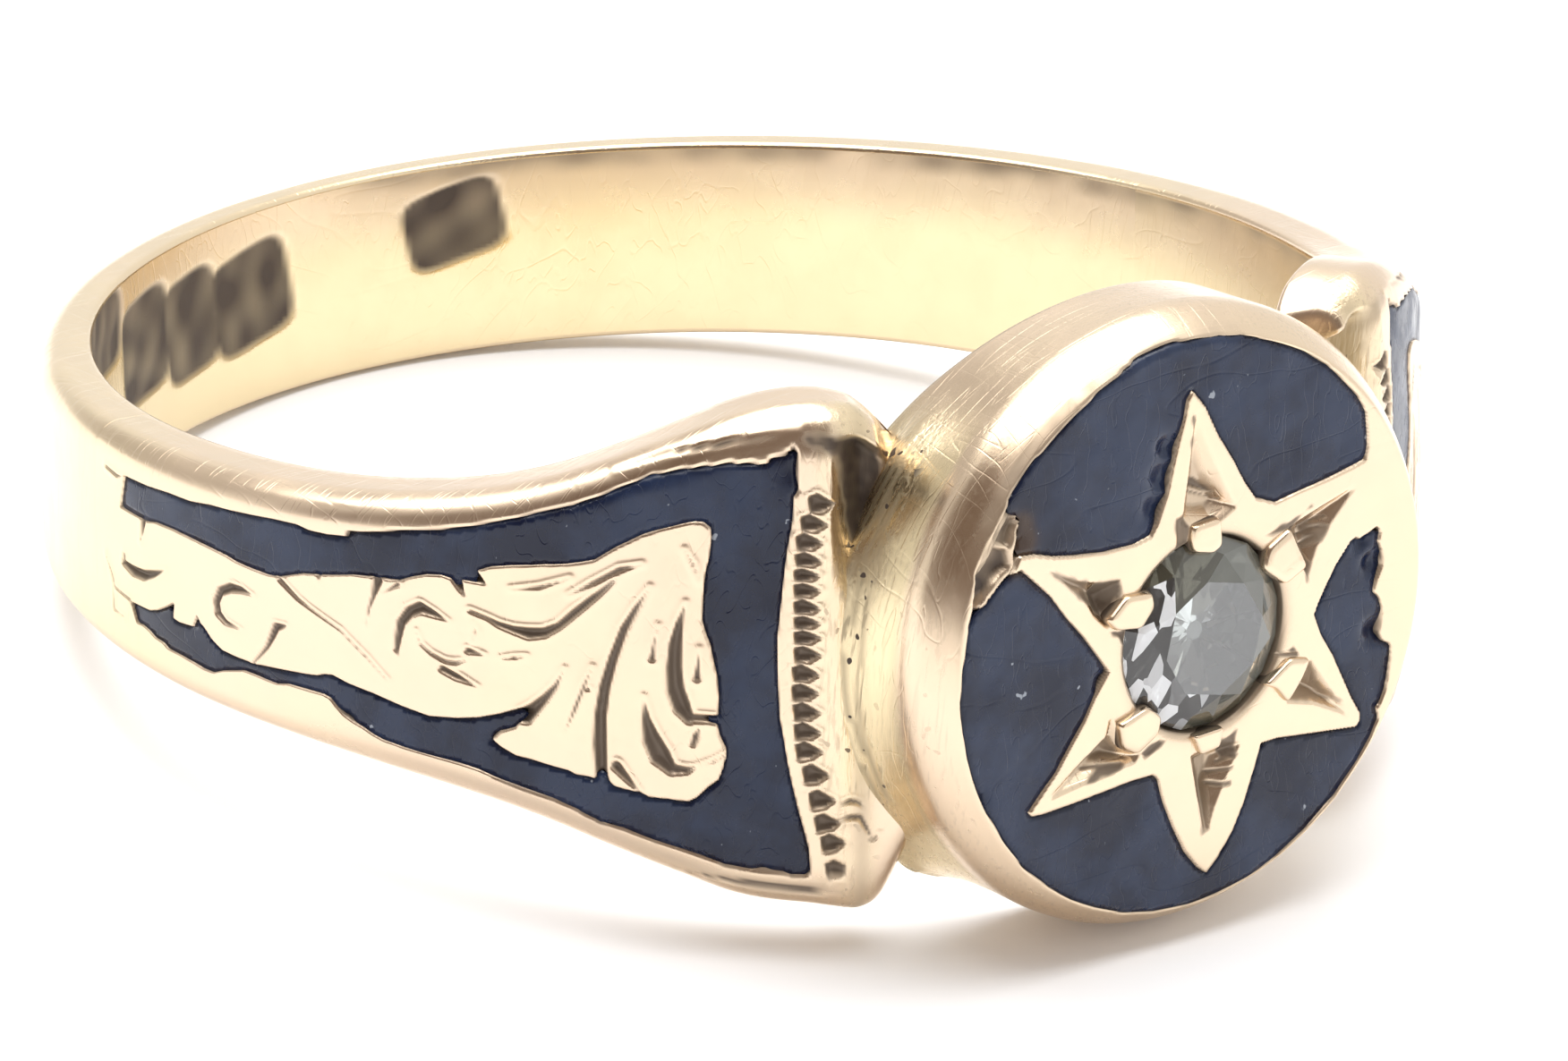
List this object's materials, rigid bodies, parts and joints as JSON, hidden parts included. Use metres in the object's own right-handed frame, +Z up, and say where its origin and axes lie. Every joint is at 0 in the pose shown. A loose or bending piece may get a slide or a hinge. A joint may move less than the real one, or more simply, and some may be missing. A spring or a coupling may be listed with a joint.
{
  "type": "mourning ring",
  "caption": "Gold mourning ring with a round blue-black enamelled head, a hand-cut star set with a diamond, and flared enamelled shoulders with leaf scrolls.",
  "frame": {"origin": "middle of the bounding box on the floor that the ring lies on", "axes": "+X to the right of someone who looks at the head's face, +Y from the head towards the back of the band, +Z up from the floor"},
  "size_m": [0.019, 0.0202, 0.0086],
  "materials": {
    "gold": "worn and softly polished",
    "enamel": "glossy, slightly worn",
    "stone": "polished facets"
  },
  "bodies": {
    "root": {"ring_body": "gold", "head_enamel": "enamel", "shoulder_enamel_left": "enamel", "shoulder_enamel_right": "enamel", "diamond": "stone"}
  },
  "joints": []
}
